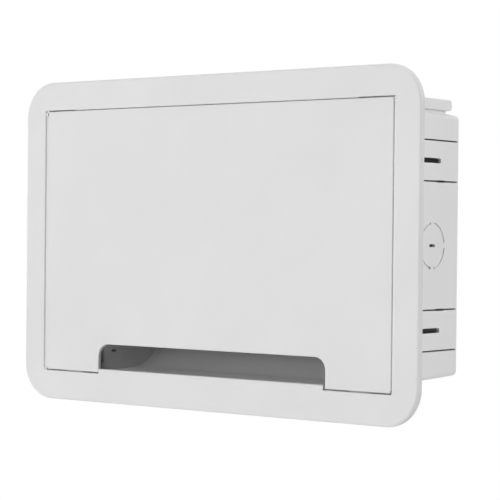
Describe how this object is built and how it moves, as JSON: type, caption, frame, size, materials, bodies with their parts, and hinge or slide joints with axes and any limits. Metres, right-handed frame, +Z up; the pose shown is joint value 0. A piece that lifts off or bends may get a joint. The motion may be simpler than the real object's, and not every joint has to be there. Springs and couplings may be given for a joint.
{
  "type": "recessed fiber termination box",
  "caption": "Recessed in-wall fibre termination box: shallow tub with stud slots and knock-outs, trim frame, top-hung door with cable notch, splice tray, SC adapters, slack spool.",
  "frame": {"origin": "centre of the wall cut-out on the wall's surface, in the plane of the trim frame's back face", "axes": "+X to the right seen from the room, +Y into the wall, +Z up; the door faces -Y"},
  "size_m": [0.4064, 0.0925, 0.273],
  "materials": {
    "white_trim": "satin moulded ABS, white",
    "white_tub": "matt moulded ABS, white",
    "tray_grey": "moulded plastic, light grey",
    "clear_cover": "clear smoked polycarbonate",
    "adapter_green": "moulded green plastic",
    "cap_white": "soft natural polyethylene",
    "bracket_steel": "powder-coated sheet steel, light grey",
    "screw_steel": "zinc-plated steel",
    "magnet_nickel": "nickel-plated magnet"
  },
  "bodies": {
    "housing": {"trim_frame": "white_trim", "back_tub": "white_tub", "frame_screw_1": "screw_steel", "frame_screw_2": "screw_steel", "frame_screw_3": "screw_steel", "frame_screw_4": "screw_steel", "catch_magnet_left": "magnet_nickel", "catch_magnet_right": "magnet_nickel", "clamp_screw_left": "screw_steel", "clamp_screw_right": "screw_steel", "splice_tray": "tray_grey", "fiber_guide_1": "tray_grey", "fiber_guide_2": "tray_grey", "splice_holder_1": "tray_grey", "splice_holder_2": "tray_grey", "tray_screw_1": "screw_steel", "tray_screw_2": "screw_steel", "tray_screw_3": "screw_steel", "tray_screw_4": "screw_steel", "adapter_bracket": "bracket_steel", "bracket_screw_1": "screw_steel", "bracket_screw_2": "screw_steel", "sc_adapter_1": "adapter_green", "sc_adapter_2": "adapter_green", "sc_adapter_3": "adapter_green", "sc_adapter_4": "adapter_green", "slack_spool": "tray_grey", "spool_screw": "screw_steel", "cable_clamp": "tray_grey", "cable_clamp_screw_1": "screw_steel", "cable_clamp_screw_2": "screw_steel"},
    "door": {"door": "white_trim", "hinge_pin_left": "screw_steel", "hinge_pin_right": "screw_steel", "strike_plate_left": "screw_steel", "strike_plate_right": "screw_steel"},
    "tray_cover": {"tray_cover": "clear_cover"},
    "clamp_nut_left": {"clamp_nut_left": "screw_steel"},
    "clamp_wing_left": {"clamp_wing_left": "white_trim"},
    "clamp_nut_right": {"clamp_nut_right": "screw_steel"},
    "clamp_wing_right": {"clamp_wing_right": "white_trim"},
    "dust_cap_top_1": {"dust_cap_top_1": "cap_white"},
    "dust_cap_bottom_1": {"dust_cap_bottom_1": "cap_white"},
    "dust_cap_top_2": {"dust_cap_top_2": "cap_white"},
    "dust_cap_bottom_2": {"dust_cap_bottom_2": "cap_white"},
    "dust_cap_top_3": {"dust_cap_top_3": "cap_white"},
    "dust_cap_bottom_3": {"dust_cap_bottom_3": "cap_white"},
    "dust_cap_top_4": {"dust_cap_top_4": "cap_white"},
    "dust_cap_bottom_4": {"dust_cap_bottom_4": "cap_white"}
  },
  "joints": [
    {"name": "door_hinge", "type": "hinge", "parent": "housing", "child": "door", "pos_m": [0, -0.002, 0.109], "axis": [-1, 0, 0], "range_deg": [0, 105]},
    {"name": "tray_cover_hinge", "type": "hinge", "parent": "housing", "child": "tray_cover", "pos_m": [-0.093, 0.0587, 0.0973], "axis": [-1, 0, 0], "range_deg": [0, 90]},
    {"name": "clamp_travel_right", "type": "slide", "parent": "housing", "child": "clamp_nut_right", "axis": [0, -1, 0], "range_m": [0, 0.045]},
    {"name": "clamp_swing_right", "type": "hinge", "parent": "clamp_nut_right", "child": "clamp_wing_right", "pos_m": [0.157, 0.0629, 0.1092], "axis": [0, 1, 0], "range_deg": [0, 90]},
    {"name": "clamp_travel_left", "type": "slide", "parent": "housing", "child": "clamp_nut_left", "axis": [0, -1, 0], "range_m": [0, 0.045]},
    {"name": "clamp_swing_left", "type": "hinge", "parent": "clamp_nut_left", "child": "clamp_wing_left", "pos_m": [-0.157, 0.0629, 0.1092], "axis": [0, -1, 0], "range_deg": [0, 90]},
    {"name": "cap_top_pull_1", "type": "slide", "parent": "housing", "child": "dust_cap_top_1", "axis": [0, 0, 1], "range_m": [0, 0.018]},
    {"name": "cap_bottom_pull_1", "type": "slide", "parent": "housing", "child": "dust_cap_bottom_1", "axis": [0, 0, -1], "range_m": [0, 0.018]},
    {"name": "cap_top_pull_2", "type": "slide", "parent": "housing", "child": "dust_cap_top_2", "axis": [0, 0, 1], "range_m": [0, 0.018]},
    {"name": "cap_bottom_pull_2", "type": "slide", "parent": "housing", "child": "dust_cap_bottom_2", "axis": [0, 0, -1], "range_m": [0, 0.018]},
    {"name": "cap_top_pull_3", "type": "slide", "parent": "housing", "child": "dust_cap_top_3", "axis": [0, 0, 1], "range_m": [0, 0.018]},
    {"name": "cap_bottom_pull_3", "type": "slide", "parent": "housing", "child": "dust_cap_bottom_3", "axis": [0, 0, -1], "range_m": [0, 0.018]},
    {"name": "cap_top_pull_4", "type": "slide", "parent": "housing", "child": "dust_cap_top_4", "axis": [0, 0, 1], "range_m": [0, 0.018]},
    {"name": "cap_bottom_pull_4", "type": "slide", "parent": "housing", "child": "dust_cap_bottom_4", "axis": [0, 0, -1], "range_m": [0, 0.018]}
  ]
}
